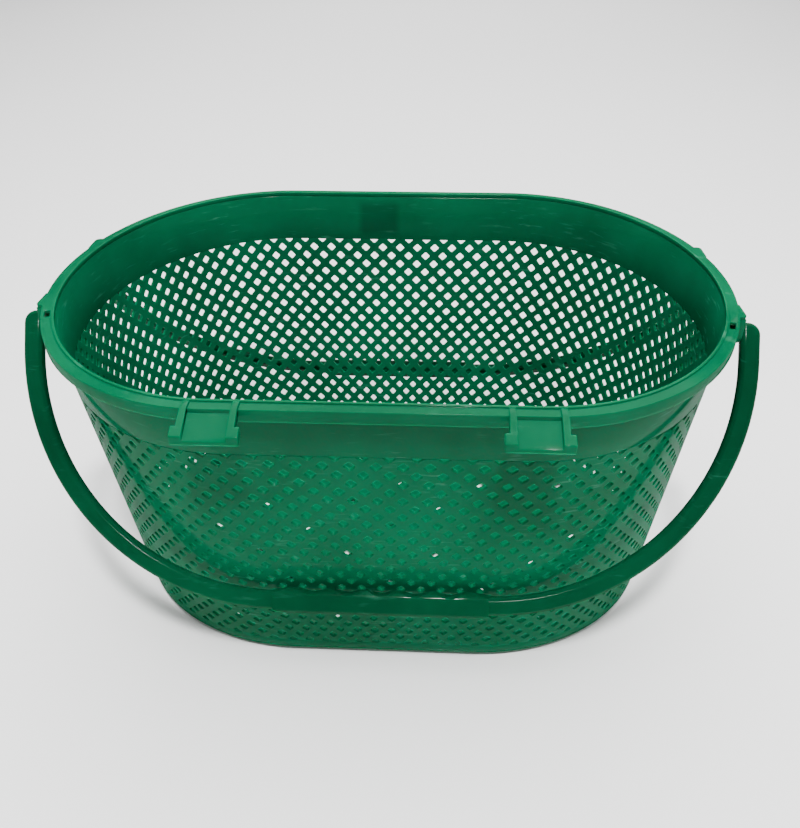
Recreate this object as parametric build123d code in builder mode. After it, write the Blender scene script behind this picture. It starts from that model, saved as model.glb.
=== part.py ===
from build123d import *
import os
from math import acos, asin, atan, cos, degrees, hypot, radians, sin, sqrt

# Outside of the tub: rim, base and height
rim_length = 450.0
rim_depth = 334.0
rim_straight = 176.0
base_length = 400.0
base_depth = 250.0
base_straight = 126.0
height = 238.0
wall = 2.2

# Turned-down rim
flange_width = 8.0
flange_thickness = 2.0
skirt_height = 7.5
skirt_thickness = 2.0
bead_width = 1.8
bead_height = 1.0

# Solid bands above and below the lattice, floor and foot
band_height = 36.0
base_band_height = 8.0
floor_thickness = 3.0
floor_edge = 2.0
foot_height = 3.0
foot_inset = 3.0
foot_width = 5.0

# Diamond lattice of the wall, and the panels it is divided into
hole_width = 15.5
hole_height = 19.0
row_pitch = 18.4
side_columns = 4
end_columns = 16
end_panels = 8
panel_margin = 3.0
lattice_margin = 3.0

# Diamond drain holes of the floor
drain_pitch_x = 74.0
drain_pitch_y = 62.0
drain_width = 14.0
drain_height = 12.0
drain_margin = 14.0

# Pivots of the two bails, under the rim at both ends
pivot_spread = 92.0
pivot_drop = 13.0
pin_radius = 3.5
pin_clearance = 0.06
pin_overrun = 0.8
ear_width = 17.0
ear_thickness = 4.6
notch_gap = 0.4

# Moulding slots in the front of the rim
slot_spread = 132.0
slot_width = 3.6
slot_length = 9.0

# Bails: arms, bend, reach and grip
bail_span = 458.0
bail_reach = 180.0
bend_radius = 160.0
arm_width = 11.5
arm_thickness = 9.0
arm_edge = 1.8
arm_end = 4.0
arm_end_radius = 8.0
side_gap = 1.0
grip_width = 15.0
grip_thickness = 12.0
grip_edge_radius = 3.0
grip_taper = 9.0
finger_pitch = 22.0
finger_radius = 15.0
finger_depth = 2.5
finger_count = 5
rest_gap = 0.4

# Lugs on the front rim
lug_spacing = 168.0
lug_width = 30.0
lug_reach = 16.0
lug_slope = 24.0
lug_thickness = 2.4
lug_drop = 2.0
rib_width = 3.8
rib_height = 3.0
wing_width = 2.6
wing_length = 6.0

# Plain pad on the outside of the back band
pad_width = 32.0
pad_height = 26.0
pad_thickness = 1.2
pad_offset = 18.0

# Heights and widths that follow
overhang = flange_width - wall
flange_bottom = height - flange_thickness
lattice_top = flange_bottom - band_height
floor_bottom = foot_height
floor_top = floor_bottom + floor_thickness
lattice_bottom = floor_top + base_band_height
panel_half = base_straight / 2 - panel_margin
wall_top_length = rim_length - 2 * overhang
wall_top_depth = rim_depth - 2 * overhang
wall_slope = degrees(atan((wall_top_depth - base_depth) / 2 / height))
pivot_y = pivot_spread / 2
pivot_z = height - pivot_drop
arm_inner = bail_span / 2 - arm_width / 2
ear_outer = arm_inner - side_gap
ear_inner = ear_outer - ear_thickness
pin_tip = ear_inner - pin_overrun
bend_x = bail_span / 2 - bend_radius
bend_y = bail_reach - bend_radius
middle_shift = lug_reach / 2


def plan(level, inset=0.0):
    """Length, depth and straight run of the wall's outline at a height, inset all round."""
    share = level / height
    length = base_length + (wall_top_length - base_length) * share - 2 * inset
    depth = base_depth + (wall_top_depth - base_depth) * share - 2 * inset
    straight = base_straight + (rim_straight - base_straight) * share
    return length, depth, straight


def oblong(length, depth, straight, mode=Mode.ADD):
    """Plan outline with a straight front and back and half ellipses at both ends."""
    side = straight / 2
    bulge = length / 2 - side
    with BuildLine() as outline:
        Line((-side, -depth / 2), (side, -depth / 2))
        EllipticalCenterArc((side, 0), bulge, depth / 2, -90, arc_size=180)
        Line((side, depth / 2), (-side, depth / 2))
        EllipticalCenterArc((-side, 0), bulge, depth / 2, 90, arc_size=180)
    make_face(outline.edges(), mode=mode)


def tapered_wall(low, high):
    """Tapered shell of the tub between two heights."""
    for inset, mode in ((0.0, Mode.ADD), (wall, Mode.SUBTRACT)):
        with BuildSketch(Plane.XY.offset(low)) as bottom:
            oblong(*plan(low, inset))
        with BuildSketch(Plane.XY.offset(high)) as top:
            oblong(*plan(high, inset))
        loft([bottom.sketch, top.sketch], ruled=True, mode=mode)


def wall_reach(bearing, level):
    """Distance from the middle of an end to mid-wall, along a bearing in plan."""
    length, depth, straight = plan(level, wall / 2)
    side = straight / 2 - panel_half
    bulge = length / 2 - straight / 2
    across = abs(cos(radians(bearing)))
    along = abs(sin(radians(bearing)))
    if side * along >= depth / 2 * across:
        return depth / 2 / along
    square = (across / bulge) ** 2 + (along / (depth / 2)) ** 2
    linear = across * side / bulge**2
    rest = (side / bulge) ** 2 - 1
    return (linear + sqrt(linear**2 - square * rest)) / square


def hole_plane(middle, bearing, level):
    """Plane of one wall hole, facing out of the tub."""
    out = Vector(cos(radians(bearing)), sin(radians(bearing)))
    along = Vector(-out.Y, out.X)
    place = Vector(middle, 0, level) + out * wall_reach(bearing, level)
    return Plane(origin=place, x_dir=along, z_dir=out)


def diamond(width, tall, mode=Mode.ADD):
    """Diamond standing on its point."""
    Polygon((0, tall / 2), (-width / 2, 0), (0, -tall / 2), (width / 2, 0), mode=mode)


def inside_floor(x, y):
    """True where a drain hole keeps its margin from the floor's edge."""
    length, depth, straight = plan(floor_bottom, wall + drain_margin)
    past = max(abs(x) - straight / 2, 0) / (length / 2 - straight / 2)
    return hypot(past, y / (depth / 2)) <= 1


def keep(builder, name):
    """Label a finished piece and write it to its own file, with the origin under the middle of the whole."""
    placed = builder.part.moved(Location((0, middle_shift, 0)))
    placed.label = name
    export_step(placed, "parts/" + name + ".step")


os.makedirs("parts", exist_ok=True)
lobe_inner = rim_length / 2 - 2 * flange_width
lobe_length = ear_outer - lobe_inner
lobe_x = lobe_inner + lobe_length / 2
lobe_spots = [(x * lobe_x, y * pivot_y) for x in (-1, 1) for y in (-1, 1)]

# Rim: flat top with a skirt and a bead on its lip, a lobe over each ear and two moulding slots
slot_y = slot_spread / 2
rim_bulge = (rim_length - rim_straight) / 2
slot_share = slot_y / (rim_depth / 2)
slot_run = sqrt(1 - slot_share**2)
slot_x = rim_straight / 2 + rim_bulge * slot_run - flange_width / 2
slot_turn = degrees(atan(rim_bulge / (rim_depth / 2) * slot_share / slot_run))
with BuildPart() as rim_flange:
    with BuildSketch(Plane.XY.offset(flange_bottom)):
        oblong(rim_length, rim_depth, rim_straight)
        with Locations(*lobe_spots):
            Rectangle(lobe_length, ear_width)
        oblong(*plan(flange_bottom, wall), mode=Mode.SUBTRACT)
        for side in (-1, 1):
            with Locations((side * slot_x, -slot_y)):
                Rectangle(slot_width, slot_length, rotation=-side * slot_turn, mode=Mode.SUBTRACT)
    extrude(amount=flange_thickness)
    with BuildSketch(Plane.XY.offset(height)):
        oblong(*plan(flange_bottom, wall - bead_width))
        oblong(*plan(flange_bottom, wall), mode=Mode.SUBTRACT)
    extrude(amount=bead_height)
    with BuildSketch(Plane.XY.offset(height - skirt_height)):
        oblong(rim_length, rim_depth, rim_straight)
        inner = 2 * skirt_thickness
        oblong(rim_length - inner, rim_depth - inner, rim_straight, mode=Mode.SUBTRACT)
        with Locations(*lobe_spots):
            Rectangle(lobe_length, ear_width + 2 * notch_gap, mode=Mode.SUBTRACT)
    extrude(amount=skirt_height - flange_thickness)
keep(rim_flange, "rim_flange")

# Solid bands
with BuildPart() as upper_band:
    tapered_wall(lattice_top, flange_bottom)
keep(upper_band, "upper_band")

with BuildPart() as base_band:
    tapered_wall(floor_top, lattice_bottom)
keep(base_band, "base_band")

# Lattice wall: staggered rows of diamonds, the top row cut in half by the band
lattice_rows = []
level = lattice_top
while level - hole_height / 2 > lattice_bottom + lattice_margin:
    lattice_rows.append(level)
    level -= row_pitch

with BuildPart() as lattice_shell:
    tapered_wall(lattice_bottom, lattice_top)

# Flat front and back panels, and sectors of the rounded ends: the two edges of each, and its columns
far = rim_length
panels = []
for panel_name, turn in (("lattice_front", -1), ("lattice_back", 1)):
    edges = [(-panel_half, 90 * turn), (panel_half, 90 * turn)]
    panels.append((panel_name, edges, side_columns))
for side_name, middle, start in (("right", panel_half, -90), ("left", -panel_half, 90)):
    for number in range(end_panels):
        edges = [(middle, start + 180 * (number + step) / end_panels) for step in (0, 1)]
        panels.append(("lattice_" + side_name + "_" + str(number + 1), edges, end_columns // end_panels))

for panel_name, edges, columns in panels:
    (first_middle, first_bearing), (last_middle, last_bearing) = edges
    hole_planes = []
    for number, level in enumerate(lattice_rows):
        for half_step in range(number % 2, 2 * columns + 1, 2):
            share = half_step / (2 * columns)
            middle = first_middle + (last_middle - first_middle) * share
            bearing = first_bearing + (last_bearing - first_bearing) * share
            hole_planes.append(hole_plane(middle, bearing, level))
    with BuildPart() as panel:
        add(lattice_shell.part)
        with BuildSketch(Plane.XY.offset(lattice_bottom)):
            corners = [(first_middle, 0)]
            for middle, bearing in edges:
                corners.append((middle + far * cos(radians(bearing)), far * sin(radians(bearing))))
            if last_middle != first_middle:
                corners.append((last_middle, 0))
            Polygon(*corners)
        extrude(amount=lattice_top - lattice_bottom, mode=Mode.INTERSECT)
        with BuildSketch(*hole_planes):
            diamond(hole_width, hole_height)
        extrude(amount=2 * wall, both=True, mode=Mode.SUBTRACT, clean=False)
    keep(panel, panel_name)

# Floor with staggered drain holes, on a standing foot
drain_rows = int(base_depth / drain_pitch_y)
drain_columns = int(base_length / drain_pitch_x)
drains = []
for j in range(-drain_rows, drain_rows + 1):
    for i in range(-drain_columns, drain_columns + 1):
        spot = ((i + j % 2 / 2) * drain_pitch_x, j * drain_pitch_y / 2)
        if inside_floor(*spot):
            drains.append(spot)

with BuildPart() as floor:
    with BuildSketch(Plane.XY.offset(floor_bottom)):
        oblong(*plan(floor_top))
        with Locations(*drains):
            diamond(drain_width, drain_height, mode=Mode.SUBTRACT)
    extrude(amount=floor_thickness)
    outer_edge = floor.edges().filter_by_position(Axis.Z, floor_bottom, floor_bottom)
    outer_edge = outer_edge.sort_by(SortBy.LENGTH)[-4:]
    chamfer(outer_edge, length=floor_edge)
keep(floor, "floor")

with BuildPart() as foot_ring:
    with BuildSketch():
        oblong(*plan(0, foot_inset))
        oblong(*plan(0, foot_inset + foot_width), mode=Mode.SUBTRACT)
    extrude(amount=foot_height)
keep(foot_ring, "foot_ring")

# Ears: plates hanging under the lobes, each bored for a pin
with BuildPart() as ear_front_right:
    with BuildSketch(Plane.YZ.offset(ear_inner)):
        with Locations((-pivot_y, pivot_z)):
            Circle(ear_width / 2)
            Rectangle(ear_width, flange_bottom - pivot_z, align=(Align.CENTER, Align.MIN))
            Circle(pin_radius + pin_clearance, mode=Mode.SUBTRACT)
        with Locations((-pivot_y, flange_bottom)):
            Rectangle(2 * ear_width, ear_width, align=(Align.CENTER, Align.MIN), mode=Mode.SUBTRACT)
    extrude(amount=ear_thickness)
keep(ear_front_right, "ear_front_right")

with BuildPart() as ear_front_left:
    mirror(ear_front_right.part, about=Plane.YZ)
keep(ear_front_left, "ear_front_left")

with BuildPart() as ear_back_right:
    mirror(ear_front_right.part, about=Plane.XZ)
keep(ear_back_right, "ear_back_right")

with BuildPart() as ear_back_left:
    mirror(ear_front_left.part, about=Plane.XZ)
keep(ear_back_left, "ear_back_left")

# Lugs: a sloping shelf between two ribs that run over the rim
slope = radians(lug_slope)
shelf_top = height - lug_drop
rim_front = -rim_depth / 2
bead_front = -plan(flange_bottom, wall - bead_width)[1] / 2
tip_y = rim_front - lug_reach
tip_z = shelf_top - lug_reach * sin(slope) / cos(slope)
with BuildPart() as lug_right:
    with BuildSketch(Plane.YZ.offset(lug_spacing / 2)):
        Polygon(
            (rim_front, shelf_top),
            (tip_y, tip_z),
            (tip_y, tip_z - lug_thickness),
            (rim_front, shelf_top - lug_thickness),
        )
    extrude(amount=lug_width / 2, both=True)
    for edge in (-1, 1):
        rib_middle = lug_spacing / 2 + edge * (lug_width - rib_width) / 2
        with BuildSketch(Plane.YZ.offset(rib_middle)):
            Polygon(
                (bead_front, height),
                (rim_front, height),
                (rim_front, shelf_top - lug_thickness),
                (tip_y, tip_z - lug_thickness),
                (tip_y, tip_z + rib_height),
                (rim_front, height + rib_height - lug_drop),
                (bead_front, height + rib_height - lug_drop),
            )
        extrude(amount=rib_width / 2, both=True)
        wing_middle = lug_spacing / 2 + edge * (lug_width + wing_width) / 2
        with BuildSketch(Plane.YZ.offset(wing_middle)):
            wing_z = tip_z + wing_length * sin(slope) / cos(slope)
            Polygon(
                (tip_y, tip_z - lug_thickness),
                (tip_y, tip_z + rib_height),
                (tip_y + wing_length, wing_z + rib_height),
                (tip_y + wing_length, wing_z - lug_thickness),
            )
        extrude(amount=wing_width / 2, both=True)
keep(lug_right, "lug_right")

with BuildPart() as lug_left:
    mirror(lug_right.part, about=Plane.YZ)
keep(lug_left, "lug_left")

# Plain pad on the back band, on the band's own slope
pad_level = (lattice_top + flange_bottom) / 2
pad_out = Vector(0, cos(radians(wall_slope)), -sin(radians(wall_slope)))
pad_place = Vector(-pad_offset, plan(pad_level)[1] / 2, pad_level)
with BuildPart() as back_pad:
    with BuildSketch(Plane(origin=pad_place, x_dir=(-1, 0, 0), z_dir=pad_out)):
        Rectangle(pad_width, pad_height)
    extrude(amount=pad_thickness)
keep(back_pad, "back_pad")

# Rest pose of the bail: its grip a small gap off the sloping front wall
slope = radians(wall_slope)
corner = hypot(grip_width / 2 - grip_edge_radius, grip_thickness / 2 - grip_edge_radius)
standoff = corner + grip_edge_radius + rest_gap
pivot_depth = (plan(pivot_z)[1] / 2 - pivot_y) * cos(slope)
rest_angle = slope + acos((standoff + pivot_depth) / bail_reach)
bail_plane = Plane(
    origin=(0, -pivot_y, pivot_z),
    x_dir=(1, 0, 0),
    z_dir=(0, sin(rest_angle), -cos(rest_angle)),
)

# Front bail: arms with their pins, and the grip with finger hollows
with BuildPart() as bail_front_arm_right:
    with BuildSketch(bail_plane):
        with BuildLine():
            half = arm_width / 2
            round_x = arm_inner + arm_width - arm_end_radius
            round_end = CenterArc((round_x, arm_end_radius - arm_end), arm_end_radius, -90, 90)
            outer_bend = CenterArc((bend_x, bend_y), bend_radius + half, 0, 90)
            inner_bend = CenterArc((bend_x, bend_y), bend_radius - half, 0, 90)
            Line(round_end @ 1, outer_bend @ 0)
            Line(outer_bend @ 1, inner_bend @ 1)
            Line(inner_bend @ 0, (arm_inner, -arm_end))
            Line((arm_inner, -arm_end), round_end @ 0)
        make_face()
    extrude(amount=arm_thickness / 2, both=True)
    flat_faces = bail_front_arm_right.faces().sort_by(Axis(bail_plane.origin, bail_plane.z_dir))
    long_edges = flat_faces[0].edges() + flat_faces[-1].edges()
    chamfer(long_edges.filter_by(lambda edge: edge.center().X > bend_x + arm_width), length=arm_edge)
    with BuildSketch(Plane.YZ.offset(pin_tip)):
        with Locations((-pivot_y, pivot_z)):
            Circle(pin_radius)
    extrude(amount=arm_inner + arm_edge - pin_tip)
keep(bail_front_arm_right, "bail_front_arm_right")

with BuildPart() as bail_front_arm_left:
    mirror(bail_front_arm_right.part, about=Plane.YZ)
keep(bail_front_arm_left, "bail_front_arm_left")

with BuildPart() as bail_front_grip:
    with BuildSketch(bail_plane):
        with Locations((0, bail_reach)):
            full_x = bend_x - grip_taper
            Polygon(
                (bend_x, -arm_width / 2),
                (bend_x, arm_width / 2),
                (full_x, grip_width / 2),
                (-full_x, grip_width / 2),
                (-bend_x, arm_width / 2),
                (-bend_x, -arm_width / 2),
                (-full_x, -grip_width / 2),
                (full_x, -grip_width / 2),
            )
        hollow_y = bail_reach - grip_width / 2 + finger_depth - finger_radius
        with Locations((0, hollow_y)):
            with GridLocations(finger_pitch, 0, finger_count, 1):
                Circle(finger_radius, mode=Mode.SUBTRACT)
    extrude(amount=grip_thickness / 2, both=True)
    grip_end = bail_plane.from_local_coords(Vector(-bend_x, bail_reach))
    with BuildSketch(Plane(origin=grip_end, x_dir=bail_plane.y_dir, z_dir=(1, 0, 0))):
        RectangleRounded(grip_width, grip_thickness, grip_edge_radius)
    extrude(amount=2 * bend_x, mode=Mode.INTERSECT)
keep(bail_front_grip, "bail_front_grip")

# Back bail: the front one turned about
for part_name, source in (
    ("bail_back_arm_right", bail_front_arm_right),
    ("bail_back_arm_left", bail_front_arm_left),
    ("bail_back_grip", bail_front_grip),
):
    with BuildPart() as turned:
        mirror(source.part, about=Plane.XZ)
    keep(turned, part_name)

# Travel of a bail, from rest to where the two grips meet over the middle
tilted_reach = bail_reach + grip_width / 2 - grip_edge_radius
tilted_half = grip_thickness / 2 - grip_edge_radius
room = pivot_y - grip_edge_radius - rest_gap
lean = asin(room / hypot(tilted_reach, tilted_half)) - atan(tilted_half / tilted_reach)
travel = degrees(rest_angle + lean) + 90
print("pivots at", pivot_y, pivot_z, "shifted", middle_shift, "travel", round(travel, 2))
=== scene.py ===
import math

import bmesh
import bpy
import numpy as np
from bpy.props import FloatProperty, FloatVectorProperty, IntProperty, PointerProperty
from mathutils import Matrix, Vector


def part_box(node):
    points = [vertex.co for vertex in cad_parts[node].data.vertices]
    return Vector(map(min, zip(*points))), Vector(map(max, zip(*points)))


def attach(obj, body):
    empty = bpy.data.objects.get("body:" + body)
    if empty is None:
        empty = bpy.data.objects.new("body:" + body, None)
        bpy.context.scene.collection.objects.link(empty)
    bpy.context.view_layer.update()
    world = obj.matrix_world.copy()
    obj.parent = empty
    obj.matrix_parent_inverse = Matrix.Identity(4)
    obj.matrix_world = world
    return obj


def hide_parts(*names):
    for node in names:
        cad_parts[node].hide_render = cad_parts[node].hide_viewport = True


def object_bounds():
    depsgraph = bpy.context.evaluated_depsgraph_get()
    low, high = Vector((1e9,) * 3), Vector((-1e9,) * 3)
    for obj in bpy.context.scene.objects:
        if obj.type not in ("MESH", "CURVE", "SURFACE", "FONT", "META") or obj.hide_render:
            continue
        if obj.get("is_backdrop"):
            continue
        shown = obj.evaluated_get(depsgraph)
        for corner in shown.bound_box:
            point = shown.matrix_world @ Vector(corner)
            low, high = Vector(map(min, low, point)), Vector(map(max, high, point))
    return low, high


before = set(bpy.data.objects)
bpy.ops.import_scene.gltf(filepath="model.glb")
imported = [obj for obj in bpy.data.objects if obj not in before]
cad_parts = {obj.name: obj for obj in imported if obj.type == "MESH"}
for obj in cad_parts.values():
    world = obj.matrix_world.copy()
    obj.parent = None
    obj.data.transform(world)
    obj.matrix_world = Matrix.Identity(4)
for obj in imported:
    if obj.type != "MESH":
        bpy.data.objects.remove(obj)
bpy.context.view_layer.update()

bl_info = {
    "name": "Harvest Basket Looks",
    "version": (1, 0, 0),
    "blender": (4, 5, 0),
    "location": "View3D > Sidebar > Basket",
    "description": "Dresses a lattice harvest basket with two bails",
    "category": "Object",
}

# Tub nodes by the width of their rounded edges
THICK = (
    "upper_band", "base_band", "foot_ring", "ear_front_left", "ear_front_right", "ear_back_left", "ear_back_right"
)
THIN = ("rim_flange", "floor", "back_pad")
LUGS = ("lug_left", "lug_right")
LATTICE_SIDES = ("front", "right", "back", "left")
WALL_SAMPLES = 4000

# Turns between two faces: merged below the first, rounded above the second, shaded as a crease above the last
FLAT_TURN = math.radians(1)
SHARP_TURN = math.radians(30)
CREASE_TURN = math.radians(40)
# An arm's chamfers turn by less than this, its pin's edges by more
CHAMFER_TURN = math.radians(60)

# Distances in metres at which vertices are merged
SAME_POINT = 1e-5
SHORT_EDGE = 2e-4
LATTICE_SLIVER = 2e-5
BEVEL_SLIVER = 2e-6

# Constant sockets of both plastics
PLASTIC = {
    "Specular IOR Level": 0.0,
    "Coat Weight": 0.11,
    "Coat Roughness": 0.1,
    "Coat IOR": 1.5,
    "Subsurface Weight": 0.5,
    "Subsurface Radius": (0.0006, 0.004, 0.0024),
    "Subsurface Scale": 1.0,
}
# Painted shade of the back pad on the band, where it blocks light through the plastic: its dark green, strength,
# blurred edge and reach in front of the pad
PAD_SHADOW_GREEN = (0.0, 0.02, 0.008, 1.0)
PAD_SHADE = 0.4
PAD_BLUR = 0.003
PAD_REACH = 0.012

FLOOR_SIZE = 15.0
FLOOR_GREY = (0.93, 0.93, 0.93, 1.0)
SKY_STRENGTH = 0.42
SENSOR = 36.0


class BasketSettings(bpy.types.PropertyGroup):
    """Sizes and colours of the basket's looks."""

    columns: IntProperty(name="Columns", description="Lattice holes in one row round the tub", default=86, min=8)
    row_pitch: FloatProperty(
        name="Row pitch", description="Height from one staggered row to the next", default=0.0071, unit="LENGTH"
    )
    rib: FloatProperty(name="Rib", description="Width of a lattice rib", default=0.0047, unit="LENGTH")
    hole_round: FloatProperty(
        name="Hole rounding", description="Rounding of a hole's corners", default=0.0019, unit="LENGTH"
    )
    wall: FloatProperty(name="Wall", description="Thickness of the lattice wall", default=0.0022, unit="LENGTH")
    straight_low: FloatProperty(
        name="Straight at base", description="Straight run of the wall at the ground", default=0.126, unit="LENGTH"
    )
    straight_high: FloatProperty(
        name="Straight at rim", description="Straight run of the wall at the rim", default=0.176, unit="LENGTH"
    )
    edge: FloatProperty(
        name="Edge", description="Width of rounded edges on bands, foot and ears", default=0.0008, unit="LENGTH"
    )
    thin_edge: FloatProperty(
        name="Thin edge", description="Width of rounded edges on rim, floor and pad", default=0.0003, unit="LENGTH"
    )
    lobe_round: FloatProperty(
        name="Lobe rounding", description="Rounding of the rim's lobes over the ears", default=0.003, unit="LENGTH"
    )
    lug_edge: FloatProperty(
        name="Lug edge", description="Width of the lugs' rounded edges", default=0.00045, unit="LENGTH"
    )
    bail_edge: FloatProperty(
        name="Bail edge", description="Width of the bails' rounded edges", default=0.0004, unit="LENGTH"
    )
    tub_dark: FloatVectorProperty(
        name="Tub dark", description="Deepest green of the tub", subtype="COLOR", default=(0.0, 0.057, 0.022)
    )
    tub_light: FloatVectorProperty(
        name="Tub light", description="Lightest green of the tub", subtype="COLOR", default=(0.0, 0.09, 0.037)
    )
    bail_dark: FloatVectorProperty(
        name="Bail dark", description="Deepest green of the bails", subtype="COLOR", default=(0.0, 0.03, 0.011)
    )
    bail_light: FloatVectorProperty(
        name="Bail light", description="Lightest green of the bails", subtype="COLOR", default=(0.0, 0.055, 0.021)
    )
    scuff: FloatVectorProperty(
        name="Scuff", description="Pale green of scuffs", subtype="COLOR", default=(0.06, 0.26, 0.17)
    )
    eye: FloatVectorProperty(
        name="Eye",
        description="Place of the camera",
        subtype="XYZ",
        unit="LENGTH",
        default=(0.02894, -0.48996, 0.46539),
    )
    view_angles: FloatVectorProperty(
        name="View angles",
        description="Pitch, roll and yaw of the camera",
        subtype="EULER",
        unit="ROTATION",
        default=(math.radians(34.5), math.radians(0.2), math.radians(-2.6)),
    )
    lens: FloatProperty(name="Lens", description="Focal length of the camera", default=34.57, unit="CAMERA")


def settings_of(context):
    """The scene's basket settings."""
    return context.scene.basket


class Signal:
    """A shader socket with arithmetic."""

    def __init__(self, tree, socket):
        self.tree = tree
        self.socket = socket

    def combine(self, operation, first, second):
        """Math node on two values, each a signal or a number."""
        return add_node(self.tree, "ShaderNodeMath", [first, second], operation=operation)

    def __add__(self, other):
        return self.combine("ADD", self, other)

    def __sub__(self, other):
        return self.combine("SUBTRACT", self, other)

    def __rsub__(self, other):
        return self.combine("SUBTRACT", other, self)

    def __mul__(self, other):
        return self.combine("MULTIPLY", self, other)

    __radd__ = __add__
    __rmul__ = __mul__

    def between(self, low, high):
        """0 at low, 1 at high and clamped outside."""
        return add_node(self.tree, "ShaderNodeMapRange", {"Value": self, "From Min": low, "From Max": high})


def add_node(tree, kind, inputs, output=0, **settings):
    """Adds a shader node, links or sets its inputs, and returns an output."""
    node = tree.nodes.new(kind)
    for name, value in settings.items():
        setattr(node, name, value)
    pairs = inputs.items() if isinstance(inputs, dict) else enumerate(inputs)
    for name, value in pairs:
        if isinstance(value, Signal):
            tree.links.new(value.socket, node.inputs[name])
        else:
            node.inputs[name].default_value = value
    return Signal(tree, node.outputs[output])


def noise(tree, place, scale, detail):
    """Plain noise on a place, 0 to 1."""
    return add_node(tree, "ShaderNodeTexNoise", {"Vector": place, "Scale": scale, "Detail": detail})


def blend(tree, amount, first, second):
    """Mix of two colours."""
    values = {"Factor": amount, 6: first, 7: second}
    return add_node(tree, "ShaderNodeMix", values, output=2, data_type="RGBA")


def pad_shadow(tree, place):
    """Painted shade: 1 on the band and pad where the pad makes the band thicker and blocks light shining through
    it, fading to 0 round the pad.
    """
    low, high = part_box("back_pad")
    x, y, z = (add_node(tree, "ShaderNodeSeparateXYZ", [place], output=axis) for axis in range(3))
    mask = y.between(low[1] - PAD_REACH, low[1] - PAD_REACH + 0.002)
    for signal, start, stop in ((x, low[0], high[0]), (z, low[2], high[2])):
        mask *= signal.between(start - PAD_BLUR, start + PAD_BLUR)
        mask *= 1 - signal.between(stop - PAD_BLUR, stop + PAD_BLUR)
    return mask


def plastic(name, dark, light, scuff, pad_shade):
    """Moulded plastic with a thin gloss, flow clouds, a fine grain, pale scuffs and, when pad_shade is set,
    painted shade behind the back pad.
    """
    material = bpy.data.materials.new(name)
    material.use_nodes = True
    tree = material.node_tree
    shader = tree.nodes["Principled BSDF"]
    place = add_node(tree, "ShaderNodeTexCoord", {}, output=3)
    stretched = add_node(tree, "ShaderNodeMapping", {"Vector": place, "Scale": (60.0, 60.0, 420.0)})
    clouds = noise(tree, place, 11.0, 4.0).between(0.3, 0.7)
    grain = noise(tree, place, 1400.0, 2.0)
    ripple = noise(tree, place, 90.0, 2.0)
    scratches = noise(tree, stretched, 1.0, 6.0).between(0.58, 0.72)
    patches = noise(tree, place, 26.0, 5.0).between(0.45, 0.75)
    wear = scratches * patches
    colour = blend(tree, clouds, (*dark, 1.0), (*light, 1.0))
    colour = blend(tree, wear * 0.4, colour, (*scuff, 1.0))
    # Painted shade: the band and pad darken where the pad blocks light shining through the plastic
    if pad_shade:
        colour = blend(tree, pad_shadow(tree, place) * pad_shade, colour, PAD_SHADOW_GREEN)
    rough = 0.34 + clouds * 0.08 + wear * 0.25 + grain * 0.05
    height = grain * 0.4 + ripple * 0.6
    bump = add_node(tree, "ShaderNodeBump", {"Height": height, "Strength": 0.12, "Distance": 0.0006})
    for socket, signal in (("Base Color", colour), ("Roughness", rough), ("Normal", bump)):
        tree.links.new(signal.socket, shader.inputs[socket])
    for socket, value in PLASTIC.items():
        shader.inputs[socket].default_value = value


def material_of(context, name):
    """The named plastic, made when first asked for."""
    if name not in bpy.data.materials:
        look = settings_of(context)
        if name == "tub_plastic_look":
            plastic(name, look.tub_dark, look.tub_light, look.scuff, PAD_SHADE)
        else:
            plastic(name, look.bail_dark, look.bail_light, look.scuff, 0.0)
    return bpy.data.materials[name]


def new_piece(context, mesh, name, body, slot, nodes):
    """Links a finished mesh as a piece that rides a body in place of CAD nodes."""
    piece = bpy.data.objects.new(name, mesh)
    context.collection.objects.link(piece)
    mesh.materials.append(material_of(context, slot + "_look"))
    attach(piece, body)
    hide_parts(*nodes)


def merge(shape, distance):
    """Merges vertices that lie closer than a distance."""
    bmesh.ops.remove_doubles(shape, verts=shape.verts, dist=distance)


def round_off(shape, geom, width, segments=2, affect="EDGES", clamp=True):
    """Rounds some edges or corners of a shape."""
    bmesh.ops.bevel(
        shape, geom=geom, offset=width, offset_type="OFFSET", segments=segments, profile=0.5,
        affect=affect, clamp_overlap=clamp, material=-1,
    )


def finished(shape, name):
    """Turns a bmesh into a smooth mesh with its creases kept, and frees it."""
    for face in shape.faces:
        face.smooth = True
    mesh = bpy.data.meshes.new(name)
    shape.to_mesh(mesh)
    shape.free()
    mesh.set_sharp_from_angle(angle=CREASE_TURN)
    return mesh


def round_lobes(shape, width):
    """Rounds the upright outer corners of the rim's flat top that have room for it."""
    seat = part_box("upper_band")[1][2]
    corners = []
    for edge in shape.edges:
        low, high = sorted(vert.co.z for vert in edge.verts)
        upright = abs(low - seat) < SAME_POINT and high - low > 0.99 * edge.calc_length()
        if upright and edge.is_convex and edge.calc_face_angle() > SHARP_TURN:
            beside = [other.calc_length() for vert in edge.verts for other in vert.link_edges if other != edge]
            if min(beside) > width:
                corners.append(edge)
    if not corners:
        raise RuntimeError("no lobe on the rim has room for its rounding")
    round_off(shape, corners, width, segments=4)


def softened(context, node, body, slot, width, widest=math.pi, clamp=False, lobe_round=0.0):
    """Makes a piece of a CAD node, rounded where its faces turn by more than SHARP_TURN and less than widest."""
    shape = bmesh.new()
    shape.from_mesh(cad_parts[node].data)
    merge(shape, SAME_POINT)
    bmesh.ops.dissolve_limit(shape, angle_limit=FLAT_TURN, verts=shape.verts, edges=shape.edges)
    merge(shape, SHORT_EDGE)
    if lobe_round:
        round_lobes(shape, lobe_round)
    turns = {edge: edge.calc_face_angle() for edge in shape.edges if len(edge.link_faces) == 2}
    sharp = [edge for edge, turn in turns.items() if SHARP_TURN < turn < widest]
    if not sharp:
        raise RuntimeError(node + " has no edge to round")
    round_off(shape, sharp, width, clamp=clamp)
    merge(shape, BEVEL_SLIVER)
    name = node + "_look"
    new_piece(context, finished(shape, name), name, body, slot, [node])


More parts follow.
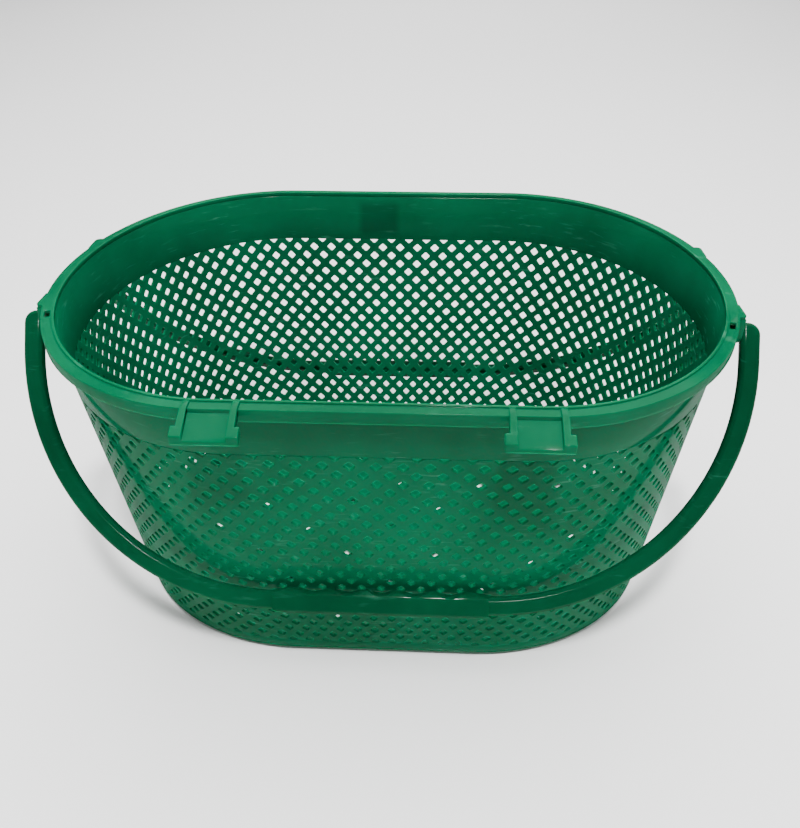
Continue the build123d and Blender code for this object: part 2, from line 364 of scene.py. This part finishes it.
class Wall:
    """Rulings of the tapered wall, counted as a share of one turn from the middle of the front."""

    def __init__(self, look):
        (low_min, low_max), (high_min, high_max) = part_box("base_band"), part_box("upper_band")
        self.low, self.high = low_max[2], high_max[2]
        self.length = low_max[0] - low_min[0], high_max[0] - high_min[0]
        self.depth = low_max[1] - low_min[1], high_max[1] - high_min[1]
        self.straight = look.straight_low, look.straight_high
        self.middle = (low_min[1] + low_max[1]) / 2
        self.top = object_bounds()[1][2]
        # Half the front, the right end, the back, the left end, the other half of the front
        turn = np.linspace(0.0, 1.0, WALL_SAMPLES)
        angle = np.pi * (turn - 0.5)
        zero, one = np.zeros_like(turn), np.ones_like(turn)
        self.side = np.concatenate([turn, one, 1 - 2 * turn, -one, turn - 1])
        self.bulge = np.concatenate([zero, np.cos(angle), zero, -np.cos(angle), zero])
        self.across = np.concatenate([-one, np.sin(angle), one, -np.sin(angle), -one])
        x, y = self.outline(self.side, self.bulge, self.across, (self.low + self.high) / 2)
        steps = np.hypot(np.diff(x), np.diff(y))
        self.share = np.concatenate([[0.0], np.cumsum(steps)]) / steps.sum()

    def outline(self, side, bulge, across, level):
        """x and y on the outside of the wall at a height."""
        grow = (level - self.low) / (self.high - self.low)
        length = self.length[0] + (self.length[1] - self.length[0]) * grow
        depth = self.depth[0] + (self.depth[1] - self.depth[0]) * grow
        straight = self.straight[0] + (self.straight[1] - self.straight[0]) * level / self.top
        return side * straight / 2 + bulge * (length - straight) / 2, self.middle + across * depth / 2

    def point(self, share, level):
        """Place on the outside of the wall at a share of one turn and a height."""
        share = share % 1.0
        parts = [np.interp(share, self.share, values) for values in (self.side, self.bulge, self.across)]
        x, y = self.outline(*parts, level)
        return Vector((x, y, level))

    def front_share(self, x):
        """Share of a turn at which the front wall reaches an x, halfway between its two straight runs."""
        side = 4 * x / sum(self.straight)
        return float(np.interp(side, self.side[:WALL_SAMPLES], self.share[:WALL_SAMPLES]))


def trim(shape, left, right, low, high):
    """Cuts a flat shape down to a rectangle."""
    for corner, outward in (
        ((left, 0, 0), (-1, 0, 0)),
        ((right, 0, 0), (1, 0, 0)),
        ((0, low, 0), (0, -1, 0)),
        ((0, high, 0), (0, 1, 0)),
    ):
        geom = shape.verts[:] + shape.edges[:] + shape.faces[:]
        bmesh.ops.bisect_plane(shape, geom=geom, plane_co=corner, plane_no=outward, clear_outer=True)


def lattice_mesh(look, wall, name, start, stop, low, high):
    """Flat lattice of rounded diamonds wrapped on the wall between two shares of a turn."""
    pitch = 2 * look.row_pitch
    cell = pitch / math.sqrt(2)
    turn_width = look.columns * pitch
    columns = math.ceil((stop - start) * look.columns) + 2
    rows = math.ceil((high - low) / look.row_pitch) + 2
    count = columns + rows
    shape = bmesh.new()
    bmesh.ops.create_grid(shape, x_segments=count, y_segments=count, size=count / 2)
    turned = Matrix.Diagonal((cell, cell, 1.0, 1.0)) @ Matrix.Rotation(math.radians(45), 4, "Z")
    bmesh.ops.transform(shape, matrix=turned, verts=shape.verts)
    centre = (columns // 2 + math.floor(start * look.columns)) * pitch
    bmesh.ops.translate(shape, vec=(centre, high + (count % 2) * look.row_pitch, 0.0), verts=shape.verts)
    # Whole cells with some to spare, so that every hole is rounded alike before the last trim
    left, right, spare = start * turn_width, stop * turn_width, look.row_pitch * 3
    trim(shape, left - spare, right + spare, low - spare, high + spare)
    partial = [face for face in shape.faces if min(edge.calc_length() for edge in face.edges) < 0.999 * cell]
    bmesh.ops.delete(shape, geom=partial, context="FACES")
    bmesh.ops.inset_individual(shape, faces=shape.faces[:], thickness=look.rib / 2, use_even_offset=True)
    inner = [face for face in shape.faces if all(len(vert.link_edges) == 3 for vert in face.verts)]
    corners = list(dict.fromkeys(vert for face in inner for vert in face.verts))
    round_off(shape, corners, look.hole_round, affect="VERTICES")
    holes = [face for face in shape.faces if len(face.verts) >= 9]
    if not holes:
        raise RuntimeError(name + " has no holes")
    bmesh.ops.delete(shape, geom=holes, context="FACES")
    trim(shape, left, right, low, high)
    merge(shape, LATTICE_SLIVER)
    for vert in shape.verts:
        vert.co = wall.point(vert.co.x / turn_width, vert.co.y)
    bmesh.ops.recalc_face_normals(shape, faces=shape.faces)
    outward = sum(1 if face.normal.xy.dot(face.calc_center_median().xy) > 0 else -1 for face in shape.faces)
    if outward < 0:
        bmesh.ops.reverse_faces(shape, faces=shape.faces)
    bmesh.ops.solidify(shape, geom=shape.faces[:], thickness=look.wall)
    return finished(shape, name)


class BASKET_OT_lattice(bpy.types.Operator):
    """Wraps the fine diamond lattice round the tub"""

    bl_idname = "basket.lattice"
    bl_label = "Lattice wall"

    def execute(self, context):
        look = settings_of(context)
        wall = Wall(look)
        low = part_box("base_band")[1][2]
        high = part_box("upper_band")[0][2]
        edge = wall.front_share(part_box("lattice_front")[1][0])
        spans = [(-edge, edge), (edge, 0.5 - edge), (0.5 - edge, 0.5 + edge), (0.5 + edge, 1.0 - edge)]
        for side, (start, stop) in zip(LATTICE_SIDES, spans):
            nodes = [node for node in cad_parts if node.startswith("lattice_" + side)]
            if not nodes:
                raise RuntimeError("no CAD panel of the lattice on the " + side)
            name = "lattice_" + side + "_look"
            mesh = lattice_mesh(look, wall, name, start, stop, low, high)
            new_piece(context, mesh, name, "tub", "tub_plastic", nodes)
        return {"FINISHED"}


class BASKET_OT_tub(bpy.types.Operator):
    """Rounds the edges of the rim, bands, ears, lugs, pad, floor and foot"""

    bl_idname = "basket.tub"
    bl_label = "Tub"

    def execute(self, context):
        look = settings_of(context)
        for nodes, width in ((THICK, look.edge), (THIN, look.thin_edge), (LUGS, look.lug_edge)):
            for node in nodes:
                lobe_round = look.lobe_round if node == "rim_flange" else 0.0
                softened(context, node, "tub", "tub_plastic", width, lobe_round=lobe_round)
        return {"FINISHED"}


class BASKET_OT_bails(bpy.types.Operator):
    """Rounds the edges of both bails"""

    bl_idname = "basket.bails"
    bl_label = "Bails"

    def execute(self, context):
        look = settings_of(context)
        for body in ("bail_front", "bail_back"):
            for arm in (body + "_arm_left", body + "_arm_right"):
                softened(context, arm, body, "bail_plastic", look.bail_edge, widest=CHAMFER_TURN)
            softened(context, body + "_grip", body, "bail_plastic", look.bail_edge, clamp=True)
        return {"FINISHED"}


def pale_floor(context):
    """A wide matt floor under the basket."""
    shape = bmesh.new()
    bmesh.ops.create_grid(shape, x_segments=1, y_segments=1, size=FLOOR_SIZE)
    mesh = bpy.data.meshes.new("stage_floor")
    shape.to_mesh(mesh)
    shape.free()
    pale = bpy.data.materials.new("stage_pale")
    pale.use_nodes = True
    shader = pale.node_tree.nodes["Principled BSDF"]
    shader.inputs["Base Color"].default_value = FLOOR_GREY
    shader.inputs["Roughness"].default_value = 0.8
    mesh.materials.append(pale)
    stage = bpy.data.objects.new("stage_floor", mesh)
    context.collection.objects.link(stage)
    stage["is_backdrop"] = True


def area_light(context, name, place, aim, size, energy):
    """A soft square lamp turned to a point."""
    lamp = bpy.data.lights.new(name, "AREA")
    lamp.size = size
    lamp.energy = energy
    light = bpy.data.objects.new(name, lamp)
    context.collection.objects.link(light)
    light.location = place
    light.rotation_euler = (Vector(aim) - Vector(place)).to_track_quat("-Z", "Y").to_euler()


def studio_light(context):
    """An even white sky, a wide lamp overhead, a small one in front and one for the far floor."""
    world = bpy.data.worlds.new("studio")
    context.scene.world = world
    world.use_nodes = True
    sky = world.node_tree.nodes["Background"]
    sky.inputs["Color"].default_value = (1.0, 1.0, 1.0, 1.0)
    sky.inputs["Strength"].default_value = SKY_STRENGTH
    middle = (0.0, 0.0, 0.12)
    area_light(context, "overhead", (0.1, 0.3, 1.8), middle, 2.6, 75.0)
    area_light(context, "front_key", (0.1, -0.8, 1.6), middle, 0.16, 42.0)
    area_light(context, "far_floor", (0.0, 3.4, 2.2), (0.0, 3.4, 0.0), 3.0, 110.0)


def photo_camera(context):
    """The camera at the photo's place, angle and focal length."""
    look = settings_of(context)
    pitch, roll, yaw = look.view_angles
    turn = Matrix.Rotation(-yaw, 3, "Z") @ Matrix.Rotation(math.radians(90) - pitch, 3, "X")
    turn = turn @ Matrix.Rotation(-roll, 3, "Z")
    lens = bpy.data.cameras.new("camera")
    lens.lens = look.lens
    lens.sensor_width = SENSOR
    camera = bpy.data.objects.new("camera", lens)
    context.collection.objects.link(camera)
    camera.matrix_world = Matrix.Translation(look.eye) @ turn.to_4x4()
    context.scene.camera = camera


class BASKET_OT_stage(bpy.types.Operator):
    """Sets the pale floor, the soft light and the camera"""

    bl_idname = "basket.stage"
    bl_label = "Stage"

    def execute(self, context):
        pale_floor(context)
        studio_light(context)
        photo_camera(context)
        return {"FINISHED"}


class BASKET_PT_panel(bpy.types.Panel):
    """Sizes, colours and build steps of the basket"""

    bl_idname = "BASKET_PT_panel"
    bl_label = "Harvest Basket"
    bl_space_type = "VIEW_3D"
    bl_region_type = "UI"
    bl_category = "Basket"

    def draw(self, context):
        for name in BasketSettings.__annotations__:
            self.layout.prop(settings_of(context), name)
        for step in STEPS:
            self.layout.operator(step.bl_idname)


STEPS = (BASKET_OT_lattice, BASKET_OT_tub, BASKET_OT_bails, BASKET_OT_stage)
CLASSES = (BasketSettings, *STEPS, BASKET_PT_panel)


def register():
    for entry in CLASSES:
        bpy.utils.register_class(entry)
    bpy.types.Scene.basket = PointerProperty(type=BasketSettings)


def unregister():
    del bpy.types.Scene.basket
    for entry in reversed(CLASSES):
        bpy.utils.unregister_class(entry)


def main():
    register()
    bpy.ops.basket.lattice()
    bpy.ops.basket.tub()
    bpy.ops.basket.bails()
    bpy.ops.basket.stage()


if __name__ == "__main__":
    main()
